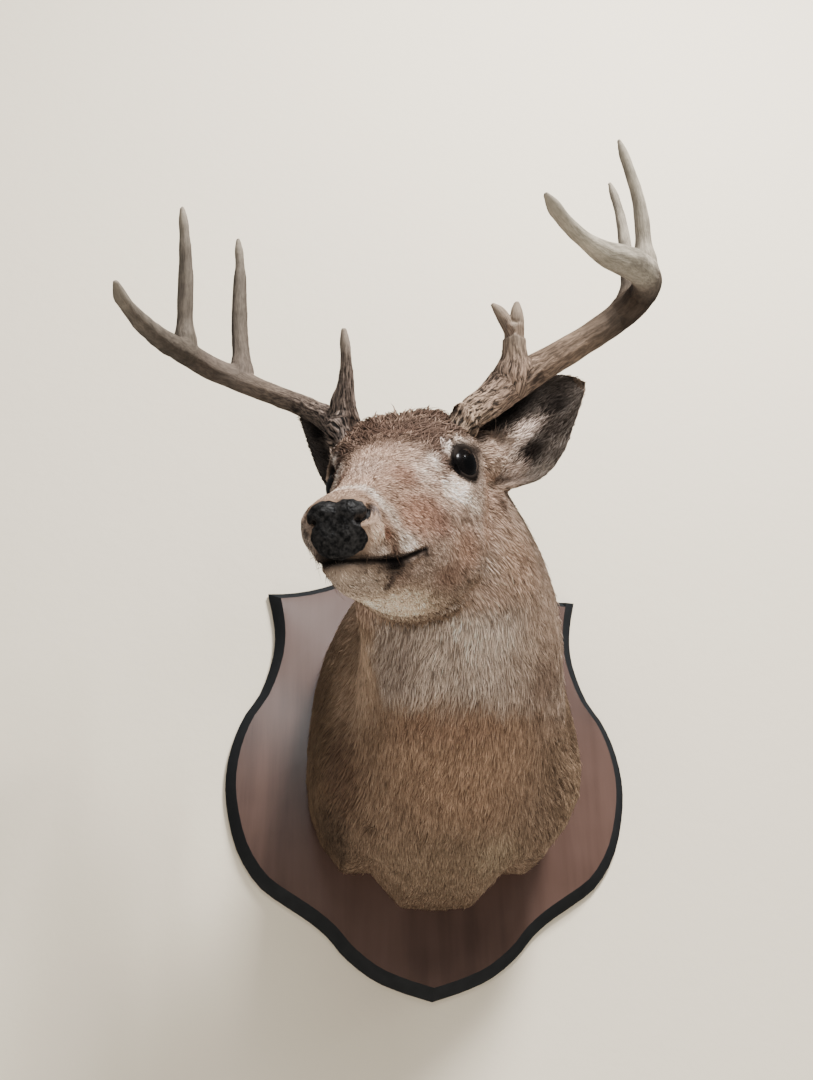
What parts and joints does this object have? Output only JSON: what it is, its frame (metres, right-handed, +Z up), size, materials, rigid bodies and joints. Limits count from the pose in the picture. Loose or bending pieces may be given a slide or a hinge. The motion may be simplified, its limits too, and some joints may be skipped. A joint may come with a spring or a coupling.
{
  "type": "deer shoulder mount",
  "caption": "Life-size white-tailed deer shoulder mount with antlers, head turned aside, on a wooden shield board that hangs flat on a wall.",
  "frame": {"origin": "on the back of the board, on its centre line, at its widest level", "axes": "+Y points into the wall, +Z up, +X along the wall to the right of someone facing the mount"},
  "size_m": [0.5146, 0.654, 0.6643],
  "materials": {
    "board_wood": "satin reddish-brown varnish, black painted chamfer",
    "coat": "short dense deer hair over tanned skin, matte",
    "nose_skin": "painted black pebbled skin, slight sheen",
    "eye_glass": "dark glass eye, polished",
    "antler_bone": "antler bone, rough and brown at the base, smoother and paler at the tips"
  },
  "bodies": {
    "root": {"board": "board_wood", "shoulder": "coat", "neck": "coat", "head": "coat", "muzzle": "coat", "lower_jaw": "coat", "nose_pad": "nose_skin", "ear_left": "coat", "ear_right": "coat", "eye_left": "eye_glass", "eye_right": "eye_glass", "antler_left_base": "antler_bone", "antler_left_beam": "antler_bone", "antler_left_tip": "antler_bone", "antler_left_brow_tine": "antler_bone", "antler_left_brow_fork_inner": "antler_bone", "antler_left_brow_fork_outer": "antler_bone", "antler_left_second_tine": "antler_bone", "antler_left_third_tine": "antler_bone", "antler_right_base": "antler_bone", "antler_right_beam": "antler_bone", "antler_right_tip": "antler_bone", "antler_right_brow_tine": "antler_bone", "antler_right_second_tine": "antler_bone", "antler_right_third_tine": "antler_bone"}
  },
  "joints": []
}
